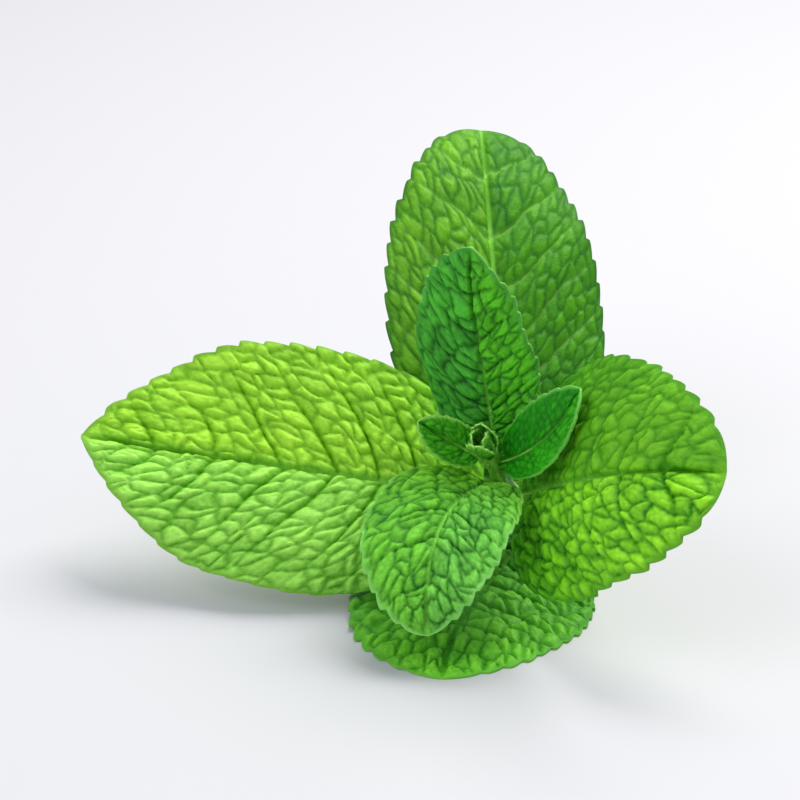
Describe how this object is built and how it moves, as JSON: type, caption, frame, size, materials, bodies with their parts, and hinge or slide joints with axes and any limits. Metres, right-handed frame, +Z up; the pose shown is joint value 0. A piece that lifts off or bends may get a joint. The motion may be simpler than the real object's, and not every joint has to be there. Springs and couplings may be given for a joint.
{
  "type": "mint sprig",
  "caption": "Cut tip of fresh mint: a square stem with crossed pairs of toothed, puckered leaves and a closed bud, lying on a surface.",
  "frame": {"origin": "on the surface that the sprig lies on, under the centre of its bounding box", "axes": "+Z up from that surface; -Y is the side that the tip of the sprig faces; +X along its widest spread, to the right as seen from -Y"},
  "size_m": [0.0852, 0.0803, 0.0495],
  "materials": {
    "leaf_green": "fresh leaf, satin, puckered between pale veins, brighter where it is thin",
    "small_leaf_green": "fresh leaf, satin with a faint blue-grey bloom, finely puckered",
    "young_green": "young leaf, soft satin, with fine pale hairs along its rim",
    "stem_green": "square green stem, satin, finely ribbed and hairy, pale at its cut end"
  },
  "bodies": {
    "root": {"stem": "stem_green", "leaf_back": "leaf_green", "leaf_front": "leaf_green", "leaf_left": "leaf_green", "leaf_right": "leaf_green", "leaf_small_upper": "small_leaf_green", "leaf_small_lower": "small_leaf_green", "leaf_young_left": "young_green", "leaf_young_right": "young_green", "bud": "young_green"}
  },
  "joints": []
}
